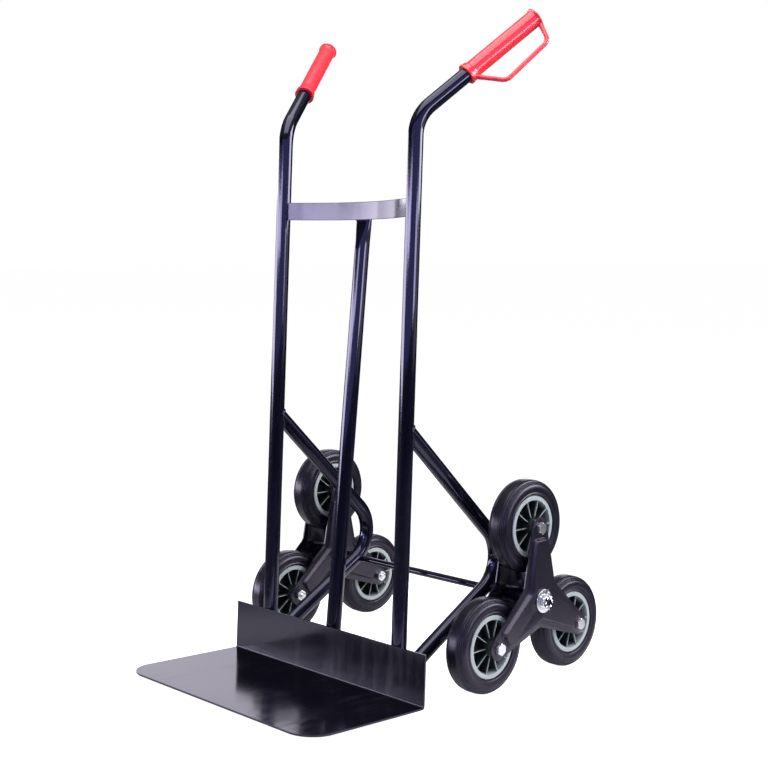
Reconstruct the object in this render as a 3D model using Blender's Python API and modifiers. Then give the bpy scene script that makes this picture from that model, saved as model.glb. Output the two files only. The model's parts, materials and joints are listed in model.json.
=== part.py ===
"""Stair-climbing hand truck: a tubular frame with a toe plate, and a free-turning
cluster of three wheels on each end of one axle.

Lengths are in metres. The frame is laid out in its own upright axes (X across, Y to
the back, Z along the side tubes) and then leans back about the heel of the toe plate,
until the heel and the four lower wheels stand on the floor.
"""

import math

import bmesh
import bpy
from mathutils import Matrix, Vector

GAP = 0.0003

TUBE_RADIUS = 0.0125
TUBE_WALL = 0.0016
TUBE_SIDES = 12
SIDE_TUBE_X = 0.157
TUBE_FOOT_Z = 0.0045

PLATE_HALF_WIDTH = 0.229
PLATE_THICKNESS = 0.003
PLATE_FRONT_Y = -0.248
PLATE_CORNER_RADIUS = 0.045
FLANGE_HEIGHT = 0.084
FLANGE_BACK_Y = -(TUBE_RADIUS + GAP)
HEEL_RADIUS = 0.005

CROSSBAR_Z = 0.771
CROSSBAR_HEIGHT = 0.030
CROSSBAR_THICKNESS = 0.003
CROSSBAR_BOW = 0.036

PRESSED_THICKNESS = 0.012
PRESSED_TOP_Z = CROSSBAR_Z + 0.010
PRESSING_LENGTH = 0.050

HANDLE_CORNER_Z = 0.913
HANDLE_DIRECTION = Vector((0.351, 0.662, 0.662)).normalized()
HANDLE_BEND_RADIUS = 0.065
GRIP_START = 0.1075
GRIP_LENGTH = 0.1530
GRIP_RADIUS = 0.0145
GRIP_RIM_RADIUS = 0.0175
GRIP_CAP_THICKNESS = 0.004
GUARD_BAR_RADIUS = 0.0038
GUARD_TURN = math.radians(38)

AXLE_Y = 0.207
AXLE_Z = 0.1465
AXLE_RADIUS = 0.006
AXLE_HALF_LENGTH = 0.2908

BRACE_TOP_Z = 0.4225
BRACE_FOOT_Z = 0.0247
BRACE_CORNER_Y = 0.2656
BRACE_CORNER_Z = 0.1888
BRACE_BEND_RADIUS = 0.060

WHEEL_RADIUS = 0.076
WHEEL_STEPS = 24
WHEEL_X = 0.239
TYRE_HALF_WIDTH = 0.019
RIM_RADIUS = 0.0505
RIM_HALF_WIDTH = 0.017
RIM_RING_THICKNESS = 0.0062
RIB_COUNT = 10
RIB_THICKNESS = 0.0028
WEB_THICKNESS = 0.004
RIM_HUB_RADIUS = 0.012
RIM_HUB_HALF_LENGTH = 0.027

ARM = 0.1175
STAR_THICKNESS = 0.0025
STAR_EMBOSS = 0.007
STAR_INSIDE_X = 0.029
STAR_HOLLOW_RADIUS = 0.012
HUB_TUBE_RADIUS = 0.014

BOLT_RADIUS = 0.005
HEXAGON_RADIUS = 0.0098
BOLT_HEAD_HEIGHT = 0.0064
NUT_HEIGHT = 0.008
SLEEVE_RADIUS = 0.0075

SPACER_RADIUS = 0.010
WASHER_RADIUS = 0.019
WASHER_THICKNESS = 0.0022
CASTLE_NUT_RADIUS = 0.012
CASTLE_NUT_HEIGHT = 0.009
CROWN_RADIUS = 0.0095
CROWN_HEIGHT = 0.0036
PIN_WIRE_RADIUS = 0.0007
PIN_HALF_WIDTH = 0.0009
PIN_HOLE_RADIUS = 0.0019

SIDES = {"left": -1, "right": 1}
ARM_ANGLES = {"top": 90, "rear": -30, "front": 210}

STAR_OUTSIDE_X = STAR_INSIDE_X + STAR_THICKNESS
EMBOSS_X = STAR_OUTSIDE_X + STAR_EMBOSS
WASHER_X = WHEEL_X + EMBOSS_X + GAP
CASTLE_NUT_X = WASHER_X + WASHER_THICKNESS + GAP
PIN_X = CASTLE_NUT_X + CASTLE_NUT_HEIGHT - CROWN_HEIGHT / 2

# A wheel is a polygon that stands on a flat, so it reaches a little less than its radius.
WHEEL_REACH = WHEEL_RADIUS * math.cos(math.pi / WHEEL_STEPS)
AXLE_HEIGHT = ARM / 2 + WHEEL_REACH
HEEL_CENTRE_Y = FLANGE_BACK_Y - HEEL_RADIUS
HEEL_TO_AXLE = math.hypot(AXLE_Z - HEEL_RADIUS, AXLE_Y - HEEL_CENTRE_Y)
LEAN = math.acos((AXLE_HEIGHT - HEEL_RADIUS) / HEEL_TO_AXLE) - math.atan2(
    AXLE_Y - HEEL_CENTRE_Y, AXLE_Z - HEEL_RADIUS
)
AXLE_BACK = AXLE_Y * math.cos(LEAN) + AXLE_Z * math.sin(LEAN)
FRONT_END = PLATE_FRONT_Y * math.cos(LEAN)
BACK_END = AXLE_BACK + ARM * math.cos(math.radians(30)) + WHEEL_REACH
FRAME_Y = -(FRONT_END + BACK_END) / 2
FRAME_Z = AXLE_HEIGHT - AXLE_Z * math.cos(LEAN) + AXLE_Y * math.sin(LEAN)

# name: (colour, roughness, metallic)
FINISHES = {
    "black_paint": ((0.012, 0.012, 0.022), 0.22, 0.0),
    "red_plastic": ((0.76, 0.020, 0.030), 0.35, 0.0),
    "tyre_rubber": ((0.022, 0.021, 0.026), 0.62, 0.0),
    "rim_plastic": ((0.36, 0.44, 0.42), 0.45, 0.0),
    "zinc_plate": ((0.72, 0.73, 0.76), 0.28, 1.0),
}


def clear_scene():
    for old in list(bpy.data.objects):
        bpy.data.objects.remove(old, do_unlink=True)


def new_collection(name):
    collection = bpy.data.collections.new(name)
    bpy.context.scene.collection.children.link(collection)
    return collection


def material(name, finish):
    """A Principled material of its own for the piece."""
    colour, roughness, metallic = FINISHES[finish]
    made = bpy.data.materials.new(name)
    made.use_nodes = True
    made.diffuse_color = (*colour, 1.0)
    shader = made.node_tree.nodes["Principled BSDF"]
    shader.inputs["Base Color"].default_value = (*colour, 1.0)
    shader.inputs["Roughness"].default_value = roughness
    shader.inputs["Metallic"].default_value = metallic
    return made


def place(obj, parent, location=(0, 0, 0), rotation=(0, 0, 0)):
    obj.parent = parent
    obj.location = location
    obj.rotation_euler = rotation
    return obj


def add_part(name, mesh, finish):
    obj = bpy.data.objects.new(name, mesh)
    mesh.materials.append(material(name, finish))
    PARTS.objects.link(obj)
    return obj


def add_cutter(name, mesh):
    obj = bpy.data.objects.new(name, mesh)
    obj.hide_render = True
    obj.display_type = "WIRE"
    CUTTERS.objects.link(obj)
    return obj


def add_empty(name, parent, location, rotation=(0, 0, 0)):
    obj = bpy.data.objects.new(name, None)
    PARTS.objects.link(obj)
    return place(obj, parent, location, rotation)


def combine(obj, other, operation):
    modifier = obj.modifiers.new(operation.lower(), "BOOLEAN")
    modifier.operation = operation
    modifier.solver = "EXACT"
    modifier.object = other


def cut(obj, other):
    combine(obj, other, "DIFFERENCE")


def add_wall(obj, thickness, offset):
    """Gives a sheet its thickness. Offset -1 grows it inward and 0 to both sides."""
    modifier = obj.modifiers.new("wall", "SOLIDIFY")
    modifier.thickness = thickness
    modifier.offset = offset


def outboard(sign):
    """Turns local Z to point outboard on that side, and keeps local Y upward."""
    return (math.pi / 2, 0, sign * math.pi / 2)


def smooth(mesh, degrees=40):
    mesh.shade_smooth()
    mesh.set_sharp_from_angle(angle=math.radians(degrees))
    return mesh


def mesh_of(work, name):
    mesh = bpy.data.meshes.new(name)
    work.to_mesh(mesh)
    work.free()
    return mesh


def fillet(points, radius, steps):
    """The path through the points, with each inner corner rounded to the radius."""
    points = [Vector(point) for point in points]
    path = [points[0]]
    for before, corner, after in zip(points, points[1:], points[2:]):
        to_before = (before - corner).normalized()
        to_after = (after - corner).normalized()
        half = to_before.angle(to_after) / 2
        centre = corner + (to_before + to_after).normalized() * radius / math.sin(half)
        start = corner + to_before * radius / math.tan(half) - centre
        end = corner + to_after * radius / math.tan(half) - centre
        sweep = start.angle(end)
        for step in range(steps + 1):
            turned_by = sweep * step / steps
            arm = start * math.sin(sweep - turned_by) + end * math.sin(turned_by)
            path.append(centre + arm / math.sin(sweep))
    path.append(points[-1])
    return path


def arc(centre, radius, start, end, steps):
    angles = [start + (end - start) * step / steps for step in range(steps + 1)]
    return [Vector(centre) + Vector((math.cos(a), math.sin(a))) * radius for a in angles]


def arm_spot(angle):
    return ARM * math.cos(math.radians(angle)), ARM * math.sin(math.radians(angle))


def curve_object(name, paths, closed):
    curve = bpy.data.curves.new(name, "CURVE")
    curve.dimensions = "2D" if closed else "3D"
    for path in paths:
        spline = curve.splines.new("POLY")
        spline.points.add(len(path) - 1)
        spline.use_cyclic_u = closed
        for point, spot in zip(spline.points, path):
            point.co = (*spot.to_3d(), 1.0)
    obj = bpy.data.objects.new(name, curve)
    CUTTERS.objects.link(obj)
    return obj


def mesh_from(obj):
    """The curve's shape as a mesh with its caps welded on. The curve is removed."""
    graph = bpy.context.evaluated_depsgraph_get()
    mesh = bpy.data.meshes.new_from_object(obj.evaluated_get(graph))
    work = bmesh.new()
    work.from_mesh(mesh)
    bmesh.ops.remove_doubles(work, verts=work.verts, dist=1e-6)
    work.to_mesh(mesh)
    work.free()
    bpy.data.objects.remove(obj, do_unlink=True)
    return mesh


def bar_mesh(name, path, radius, sides, capped=True):
    """A round bar along the path. Without caps it is only the skin."""
    obj = curve_object(name, [path], closed=False)
    obj.data.bevel_depth = radius
    obj.data.bevel_resolution = sides // 2 - 2
    obj.data.use_fill_caps = capped
    return smooth(mesh_from(obj), 50)


def prism_mesh(name, outlines, depth):
    """Flat outlines in local XY, extruded evenly to both sides of the plane."""
    obj = curve_object(name, outlines, closed=True)
    obj.data.fill_mode = "BOTH"
    obj.data.extrude = depth / 2
    return mesh_from(obj)


def cylinder_mesh(name, radius, low, high, sides, spots=((0, 0),)):
    """Cylinders along local Z, from low to high, one on each spot in local XY. Their
    facets lie like those of a turned piece."""
    work = bmesh.new()
    turn = Matrix.Rotation(math.pi / sides, 4, "Z")
    for x, y in spots:
        bmesh.ops.create_cone(
            work,
            cap_ends=True,
            segments=sides,
            radius1=radius,
            radius2=radius,
            depth=high - low,
            matrix=Matrix.Translation((x, y, (low + high) / 2)) @ turn,
        )
    return smooth(mesh_of(work, name))


def turned(name, finish, profile, steps):
    """A turned piece about local Z, with a flat facet toward each local axis. The profile
    holds (radius, height) pairs and runs down the outside. A bored one runs back up
    the bore and closes; a solid one starts and ends on the axis."""
    turn = math.pi / steps
    verts = [(r * math.cos(turn), r * math.sin(turn), z) for r, z in profile]
    edges = [(i, i + 1) for i in range(len(profile) - 1)]
    if profile[0][0] > 0:
        edges.append((len(profile) - 1, 0))
    mesh = bpy.data.meshes.new(name)
    mesh.from_pydata(verts, edges, [])
    obj = add_part(name, mesh, finish)
    screw = obj.modifiers.new("turn", "SCREW")
    screw.axis = "Z"
    screw.steps = steps
    screw.render_steps = steps
    screw.use_merge_vertices = True
    screw.merge_threshold = 0.0001
    screw.use_smooth_shade = True
    return obj


def ring(name, finish, inner, outer, low, high, steps=16):
    return turned(name, finish, [(outer, high), (outer, low), (inner, low), (inner, high)], steps)


def hollow_tube(name, path):
    mesh = bar_mesh(name, path, TUBE_RADIUS, TUBE_SIDES, capped=False)
    obj = add_part(name, mesh, "black_paint")
    add_wall(obj, TUBE_WALL, -1)
    return obj


def handle_axis(sign):
    return Vector((sign * HANDLE_DIRECTION.x, HANDLE_DIRECTION.y, HANDLE_DIRECTION.z))


def handle_spot(sign, distance):
    """A point on the handle, that far beyond the corner of its bend."""
    corner = Vector((sign * SIDE_TUBE_X, 0, HANDLE_CORNER_Z))
    return corner + handle_axis(sign) * distance


def side_tube(side, sign, frame):
    """Upright tube that bends back and outward into the handle."""
    foot = (sign * SIDE_TUBE_X, 0, TUBE_FOOT_Z)
    end = handle_spot(sign, GRIP_START + GRIP_LENGTH - GRIP_CAP_THICKNESS - GAP)
    path = fillet([foot, handle_spot(sign, 0), end], HANDLE_BEND_RADIUS, steps=6)
    place(hollow_tube(f"side_tube_{side}", path), frame)


def wheel_brace(side, sign, frame):
    """Bent tube that runs from the side tube back round the axle and forward to the
    foot. Both ends are shaped to the side tube."""
    x = sign * SIDE_TUBE_X
    corners = [
        (x, 0, BRACE_TOP_Z),
        (x, BRACE_CORNER_Y, BRACE_CORNER_Z),
        (x, 0, BRACE_FOOT_Z),
    ]
    obj = hollow_tube(f"wheel_brace_{side}", fillet(corners, BRACE_BEND_RADIUS, steps=7))
    place(obj, frame)
    coping = cylinder_mesh("coping", TUBE_RADIUS + 2 * GAP, -0.1, 0.5, 24)
    cut(obj, place(add_cutter(f"coping_{side}", coping), frame, (x, 0, 0)))
    hole = cylinder_mesh("axle_hole", AXLE_RADIUS + GAP, -0.02, 0.02, 16)
    hole_cutter = add_cutter(f"axle_hole_{side}", hole)
    cut(obj, place(hole_cutter, frame, (x, AXLE_Y, AXLE_Z), outboard(sign)))


def pressed_section(thickness):
    """Section in local XY of the round tube pressed to the thickness, girth unchanged."""
    straight = math.pi * (TUBE_RADIUS - thickness / 2) / 2
    section = []
    for step in range(TUBE_SIDES):
        angle = 2 * math.pi * (step + 0.5) / TUBE_SIDES
        x = math.copysign(straight, math.cos(angle)) + thickness / 2 * math.cos(angle)
        section.append(Vector((x, thickness / 2 * math.sin(angle), 0)))
    return section


def centre_tube(frame):
    """Middle upright. Its top is pressed flat against the back of the crossbar."""
    top_y = CROSSBAR_BOW + CROSSBAR_THICKNESS / 2 + GAP + PRESSED_THICKNESS / 2
    pressed_z = CROSSBAR_Z - CROSSBAR_HEIGHT / 2
    # height of each section, and the share of the pressing done there
    stations = [
        (TUBE_FOOT_Z, 0),
        (pressed_z - PRESSING_LENGTH, 0),
        (pressed_z - PRESSING_LENGTH / 2, 0.5),
        (pressed_z, 1),
        (PRESSED_TOP_Z, 1),
    ]
    work = bmesh.new()
    rings = []
    for z, share in stations:
        thickness = 2 * TUBE_RADIUS + share * (PRESSED_THICKNESS - 2 * TUBE_RADIUS)
        y = top_y * min(1, (z - TUBE_FOOT_Z) / (pressed_z - TUBE_FOOT_Z))
        section = pressed_section(thickness)
        rings.append([work.verts.new(point + Vector((0, y, z))) for point in section])
    for low, high in zip(rings, rings[1:]):
        for i in range(TUBE_SIDES):
            j = (i + 1) % TUBE_SIDES
            work.faces.new((low[i], low[j], high[j], high[i]))
    mesh = smooth(mesh_of(work, "centre_tube"), 50)
    tube = place(add_part("centre_tube", mesh, "black_paint"), frame)
    add_wall(tube, TUBE_WALL, -1)


def crossbar(frame):
    """Flat strip between the side tubes, bowed back in a shallow arc."""
    end_x = SIDE_TUBE_X - TUBE_RADIUS - CROSSBAR_THICKNESS / 2
    radius = (end_x**2 + CROSSBAR_BOW**2) / (2 * CROSSBAR_BOW)
    half = math.asin(end_x / radius)
    middle = math.pi / 2
    bow = arc((0, CROSSBAR_BOW - radius), radius, middle + half, middle - half, 12)
    ribbon = curve_object("crossbar", [bow], closed=False)
    ribbon.data.extrude = CROSSBAR_HEIGHT / 2
    strip = add_part("crossbar", smooth(mesh_from(ribbon)), "black_paint")
    place(strip, frame, (0, 0, CROSSBAR_Z))
    add_wall(strip, CROSSBAR_THICKNESS, 0)


def toe_plate(frame):
    """Load plate and upright flange folded from one sheet, with round front corners."""
    front, back, thick = PLATE_FRONT_Y, FLANGE_BACK_Y, PLATE_THICKNESS
    outer = fillet([(front, 0), (back, 0), (back, FLANGE_HEIGHT)], HEEL_RADIUS, 4)
    flange = back - thick
    inner_corners = [(flange, FLANGE_HEIGHT), (flange, thick), (front, thick)]
    inner = fillet(inner_corners, HEEL_RADIUS - thick, 4)
    mesh = prism_mesh("toe_plate", [outer + inner], 2 * PLATE_HALF_WIDTH)
    plate = add_part("toe_plate", smooth(mesh), "black_paint")
    place(plate, frame, rotation=(math.pi / 2, 0, math.pi / 2))
    side = PLATE_HALF_WIDTH
    plan_corners = [(-side, 0), (-side, front), (side, front), (side, 0)]
    plan = fillet(plan_corners, PLATE_CORNER_RADIUS, 6)
    plan_mesh = prism_mesh("plate_plan", [plan], 4 * FLANGE_HEIGHT)
    combine(plate, place(add_cutter("plate_plan", plan_mesh), frame), "INTERSECT")


def grip_turn(sign):
    """Turn of the grip: local Z along the handle and local X toward its guard."""
    along = handle_axis(sign)
    down = along.cross(Vector((1, 0, 0))).normalized()
    outward = down.cross(along) * sign
    guard = outward * math.cos(GUARD_TURN) + down * math.sin(GUARD_TURN)
    return Matrix((guard, along.cross(guard), along)).transposed().to_euler()


def guard_path():
    """Centre line of the knuckle guard. Both ends start inside the sleeve."""
    corners = [
        (0.006, 0, 0.003),
        (0.0530, 0, 0.038),
        (0.0465, 0, 0.1355),
        (0.006, 0, GRIP_LENGTH + 0.0005),
    ]
    return fillet(corners, 0.010, 3)


def grip(side, sign, frame):
    """Hand grip in one moulding: rimmed sleeve, closed end and knuckle guard."""
    rim, waist, length = GRIP_RIM_RADIUS, GRIP_RADIUS, GRIP_LENGTH
    profile = [
        (0, length + 0.002),
        (waist - 0.003, length + 0.001),
        (waist + 0.0015, length - 0.002),
        (waist + 0.0015, length - 0.006),
        (waist, length - 0.008),
        (waist, 0.012),
        (rim - 0.001, 0.010),
        (rim - 0.001, 0.004),
        (rim, 0.0035),
        (rim, 0),
        (0, 0),
    ]
    obj = turned(f"grip_{side}", "red_plastic", profile, 20)
    spot, turn = handle_spot(sign, GRIP_START), grip_turn(sign)
    place(obj, frame, spot, turn)
    guard = bar_mesh("guard", guard_path(), GUARD_BAR_RADIUS, 8)
    combine(obj, place(add_cutter(f"guard_{side}", guard), frame, spot, turn), "UNION")
    bore = cylinder_mesh("grip_bore", TUBE_RADIUS + GAP, -0.02, length - GRIP_CAP_THICKNESS, 20)
    cut(obj, place(add_cutter(f"grip_bore_{side}", bore), frame, spot, turn))


def axle(frame):
    """Steel bar right across, with a cross hole for the split pin near each end."""
    mesh = cylinder_mesh("axle", AXLE_RADIUS, -AXLE_HALF_LENGTH, AXLE_HALF_LENGTH, 24)
    bar = add_part("axle", mesh, "black_paint")
    place(bar, frame, (0, AXLE_Y, AXLE_Z), outboard(1))
    spots = [(sign * PIN_X, 0) for sign in SIDES.values()]
    holes = cylinder_mesh("pin_holes", PIN_HOLE_RADIUS, -0.02, 0.02, 12, spots)
    cut(bar, place(add_cutter("pin_holes", holes), frame, (0, AXLE_Y, AXLE_Z)))


def axle_spacer(side, sign, frame):
    low, high = SIDE_TUBE_X + TUBE_RADIUS + GAP, WHEEL_X - EMBOSS_X - GAP
    obj = ring(f"axle_spacer_{side}", "black_paint", AXLE_RADIUS + GAP, SPACER_RADIUS, low, high)
    place(obj, frame, (0, AXLE_Y, AXLE_Z), outboard(sign))


def axle_washer(side, sign, frame):
    low, high = WASHER_X, WASHER_X + WASHER_THICKNESS
    obj = ring(f"axle_washer_{side}", "zinc_plate", AXLE_RADIUS + GAP, WASHER_RADIUS, low, high)
    place(obj, frame, (0, AXLE_Y, AXLE_Z), outboard(sign))


def slot_mesh():
    """Three bars through the axis that cut the six slots of the castle nut's crown."""
    work = bmesh.new()
    length, width, depth = 4 * CROWN_RADIUS, 2 * PIN_HOLE_RADIUS, 2 * CROWN_HEIGHT
    for angle in (30, 90, 150):
        turn = Matrix.Rotation(math.radians(angle), 4, "Z")
        size = Matrix.Diagonal((length, width, depth, 1))
        bmesh.ops.create_cube(work, matrix=turn @ size)
    return mesh_of(work, "slots")


def castle_nut(side, sign, frame):
    """Hexagon nut whose round crown has six slots for the split pin."""
    shoulder = CASTLE_NUT_HEIGHT - CROWN_HEIGHT
    spot, turn = (sign * CASTLE_NUT_X, AXLE_Y, AXLE_Z), outboard(sign)
    hexagon = cylinder_mesh("hexagon", CASTLE_NUT_RADIUS, 0, shoulder, 6)
    nut = place(add_part(f"castle_nut_{side}", hexagon, "zinc_plate"), frame, spot, turn)
    crown = cylinder_mesh("crown", CROWN_RADIUS, shoulder / 2, CASTLE_NUT_HEIGHT, 24)
    combine(nut, place(add_cutter(f"crown_{side}", crown), frame, spot, turn), "UNION")
    bore = cylinder_mesh("nut_bore", AXLE_RADIUS + GAP, -0.02, 0.02, 24)
    cut(nut, place(add_cutter(f"nut_bore_{side}", bore), frame, spot, turn))
    crown_spot = (sign * (CASTLE_NUT_X + CASTLE_NUT_HEIGHT), AXLE_Y, AXLE_Z)
    cut(nut, place(add_cutter(f"slots_{side}", slot_mesh()), frame, crown_spot, turn))


def split_pin(side, sign, frame):
    """One wire doubled through the axle: an eye above, and two legs bent apart below."""
    half, top, eye, eye_top = PIN_HALF_WIDTH, 0.0105, 0.0026, 0.0165
    leg, toe, spread = -0.0115, -0.0135, 0.0045
    outline = [
        (-spread, toe),
        (-half, leg),
        (-half, top),
        (-eye, (top + eye_top) / 2),
        (0, eye_top),
        (eye, (top + eye_top) / 2),
        (half, top),
        (half, leg),
        (spread, toe),
    ]
    path = fillet([(0, y, z) for y, z in outline], 0.0014, 2)
    wire = bar_mesh("split_pin", path, PIN_WIRE_RADIUS, 6)
    pin = add_part(f"split_pin_{side}", wire, "zinc_plate")
    place(pin, frame, (sign * PIN_X, AXLE_Y, AXLE_Z))


def star_outline(half_width, corner_radius, reach, waist):
    """Closed three-armed outline. Each arm ends in two rounded corners, and the sides
    of neighbouring arms run into one hollow curve that comes within the waist."""
    outline = []
    for up in (math.radians(90 - 120 * arm) for arm in range(3)):
        ahead = Vector((math.cos(up), math.sin(up)))
        left = Vector((-ahead.y, ahead.x))
        corner = ahead * (reach - corner_radius)
        aside = left * (half_width - corner_radius)
        down = up - math.radians(60)
        valley = Vector((math.cos(down), math.sin(down)))
        hollow = valley * (waist + STAR_HOLLOW_RADIUS)
        # The arm's side line passes between its corner circle and the hollow circle.
        across = hollow - (corner - aside)
        bearing = math.atan2(across.y, across.x) - down
        bearing = (bearing + math.pi) % (2 * math.pi) - math.pi + down
        side = bearing + math.acos((corner_radius + STAR_HOLLOW_RADIUS) / across.length)
        outline += arc(corner + aside, corner_radius, 2 * up - side, up, 2)
        outline += arc(corner - aside, corner_radius, up, side, 2)
        leave = side + math.pi
        back = 2 * (down + math.pi) - leave
        outline += arc(hollow, STAR_HOLLOW_RADIUS, leave, back, 3)
    return outline


def star_mesh():
    """Outer skin of the pressed plate: a flat lip round a raised three-armed panel."""
    lip = star_outline(0.0175, 0.0150, ARM + 0.0175, 0.0450)
    foot = star_outline(0.0155, 0.0060, ARM - 0.0165, 0.0350)
    panel = star_outline(0.0120, 0.0045, ARM - 0.0200, 0.0285)
    work = bmesh.new()
    loops = []
    for outline, z in ((lip, 0), (foot, 0), (panel, STAR_EMBOSS)):
        loops.append([work.verts.new((*point, z)) for point in outline])
    for outer, inner in zip(loops, loops[1:]):
        for i in range(len(outer)):
            j = (i + 1) % len(outer)
            work.faces.new((outer[i], inner[i], inner[j], outer[j]))
    work.faces.new(reversed(loops[-1]))
    return smooth(mesh_of(work, "star_plate"))


def star_hole_mesh():
    """Cutter for the axle hole and the three bolt holes."""
    spots = [arm_spot(angle) for angle in ARM_ANGLES.values()]
    work = bmesh.new()
    work.from_mesh(cylinder_mesh("axle_hole", AXLE_RADIUS + GAP, -0.02, 0.02, 16))
    work.from_mesh(cylinder_mesh("bolt_holes", BOLT_RADIUS + GAP, -0.02, 0.02, 12, spots))
    return mesh_of(work, "star_holes")


def star_plate(face, side, sign, cluster):
    """One pressed plate. The outer one is raised outboard and the inner one inboard."""
    facing = {"outer": 1, "inner": -1}[face]
    spot = (sign * (WHEEL_X + facing * STAR_OUTSIDE_X), 0, 0)
    turn = outboard(sign * facing)
    plate = add_part(f"star_plate_{face}_{side}", star_mesh(), "black_paint")
    place(plate, cluster, spot, turn)
    add_wall(plate, STAR_THICKNESS, -1)
    holes = add_cutter(f"star_holes_{face}_{side}", star_hole_mesh())
    cut(plate, place(holes, cluster, spot, turn))


def hub_tube(side, sign, cluster):
    half = EMBOSS_X - STAR_THICKNESS - GAP
    tube = ring(f"hub_tube_{side}", "black_paint", AXLE_RADIUS + GAP, HUB_TUBE_RADIUS, -half, half)
    place(tube, cluster, (sign * WHEEL_X, 0, 0), outboard(sign))


def tyre(name, sign, wheel):
    """Solid tyre with a crowned tread and slightly bulged walls."""
    half = TYRE_HALF_WIDTH
    wall = [
        (RIM_RADIUS, half - 0.002),
        (RIM_RADIUS + 0.008, half),
        (WHEEL_RADIUS - 0.008, half - 0.0006),
        (WHEEL_RADIUS - 0.002, half - 0.004),
        (WHEEL_RADIUS, half - 0.010),
    ]
    profile = wall + [(r, -z) for r, z in reversed(wall)]
    place(turned(f"tyre_{name}", "tyre_rubber", profile, WHEEL_STEPS), wheel, rotation=outboard(sign))


def pocket_outlines():
    """The open sectors between the ribs, in the plane of the wheel."""
    inner, outer = RIM_HUB_RADIUS + 0.0015, RIM_RADIUS - RIM_RING_THICKNESS
    share = math.pi / RIB_COUNT
    wide = share - math.asin(RIB_THICKNESS / 2 / outer)
    narrow = share - math.asin(RIB_THICKNESS / 2 / inner)
    outlines = []
    for middle in (2 * share * (index + 0.5) for index in range(RIB_COUNT)):
        rim_side = arc((0, 0), outer, middle - wide, middle + wide, 2)
        hub_side = arc((0, 0), inner, middle + narrow, middle - narrow, 1)
        outlines.append(rim_side + hub_side)
    return outlines


def pocket_mesh():
    """Cutter for the pockets on both faces of the rim."""
    depth = RIM_HALF_WIDTH
    middle = (WEB_THICKNESS + depth) / 2
    pockets = prism_mesh("pockets", pocket_outlines(), depth)
    work = bmesh.new()
    for shift in (2 * middle, -middle):
        work.from_mesh(pockets)
        bmesh.ops.translate(work, verts=work.verts, vec=(0, 0, shift))
    return mesh_of(work, "pockets")


def rim(name, sign, wheel):
    """Plastic wheel centre: ring, web and hub in one, with ribs between pockets."""
    half, hub_half, turn = RIM_HALF_WIDTH, RIM_HUB_HALF_LENGTH, outboard(sign)
    disc = cylinder_mesh("disc", RIM_RADIUS - GAP, -half, half, WHEEL_STEPS)
    obj = place(add_part(f"rim_{name}", disc, "rim_plastic"), wheel, rotation=turn)
    cut(obj, place(add_cutter(f"pockets_{name}", pocket_mesh()), wheel, rotation=turn))
    hub = cylinder_mesh("hub", RIM_HUB_RADIUS, -hub_half, hub_half, 16)
    combine(obj, place(add_cutter(f"hub_{name}", hub), wheel, rotation=turn), "UNION")
    bore = cylinder_mesh("bore", SLEEVE_RADIUS + GAP, -0.05, 0.05, 12)
    cut(obj, place(add_cutter(f"rim_bore_{name}", bore), wheel, rotation=turn))


def wheel_sleeve(name, sign, spot, cluster):
    half = STAR_INSIDE_X - GAP
    sleeve = ring(f"wheel_sleeve_{name}", "zinc_plate", BOLT_RADIUS + GAP, SLEEVE_RADIUS, -half, half, 12)
    place(sleeve, cluster, spot, outboard(sign))


def wheel_bolt(name, sign, spot, cluster):
    """Hexagon bolt with its head outboard. Its end stands out of the nut."""
    under = STAR_OUTSIDE_X + GAP
    head = cylinder_mesh("head", HEXAGON_RADIUS, under, under + BOLT_HEAD_HEIGHT, 6)
    bolt = add_part(f"wheel_bolt_{name}", head, "zinc_plate")
    place(bolt, cluster, spot, outboard(sign))
    end = under + NUT_HEIGHT + BOLT_RADIUS
    shank = cylinder_mesh("shank", BOLT_RADIUS, -end, under + BOLT_HEAD_HEIGHT / 2, 16)
    combine(bolt, place(add_cutter(f"shank_{name}", shank), cluster, spot, outboard(sign)), "UNION")


def wheel_nut(name, sign, spot, cluster):
    seat = -STAR_OUTSIDE_X - GAP
    hexagon = cylinder_mesh("nut", HEXAGON_RADIUS, seat - NUT_HEIGHT, seat, 6)
    nut = add_part(f"wheel_nut_{name}", hexagon, "zinc_plate")
    place(nut, cluster, spot, outboard(sign))
    bore = cylinder_mesh("bore", BOLT_RADIUS + GAP, -0.06, 0, 16)
    cut(nut, place(add_cutter(f"bore_{name}", bore), cluster, spot, outboard(sign)))


def wheel_cluster(side, sign):
    """Two star plates on a hub tube, with a wheel on a bolt at each of the three arms."""
    hub = (0, AXLE_BACK + FRAME_Y, AXLE_HEIGHT)
    cluster = add_empty(f"cluster_{side}_axis", None, hub)
    star_plate("outer", side, sign, cluster)
    star_plate("inner", side, sign, cluster)
    hub_tube(side, sign, cluster)
    for arm, angle in ARM_ANGLES.items():
        name = f"{side}_{arm}"
        spot = (sign * WHEEL_X, *arm_spot(angle))
        wheel_sleeve(name, sign, spot, cluster)
        wheel_bolt(name, sign, spot, cluster)
        wheel_nut(name, sign, spot, cluster)
        wheel = add_empty(f"wheel_{name}_axis", cluster, spot)
        tyre(name, sign, wheel)
        rim(name, sign, wheel)


def build():
    frame = add_empty("leaning_frame", None, (0, FRAME_Y, FRAME_Z), (-LEAN, 0, 0))
    toe_plate(frame)
    crossbar(frame)
    centre_tube(frame)
    axle(frame)
    for side, sign in SIDES.items():
        side_tube(side, sign, frame)
        wheel_brace(side, sign, frame)
        grip(side, sign, frame)
        axle_spacer(side, sign, frame)
        axle_washer(side, sign, frame)
        castle_nut(side, sign, frame)
        split_pin(side, sign, frame)
        wheel_cluster(side, sign)


clear_scene()
PARTS = new_collection("stair_climbing_hand_truck")
CUTTERS = new_collection("cutters")
build()
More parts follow.
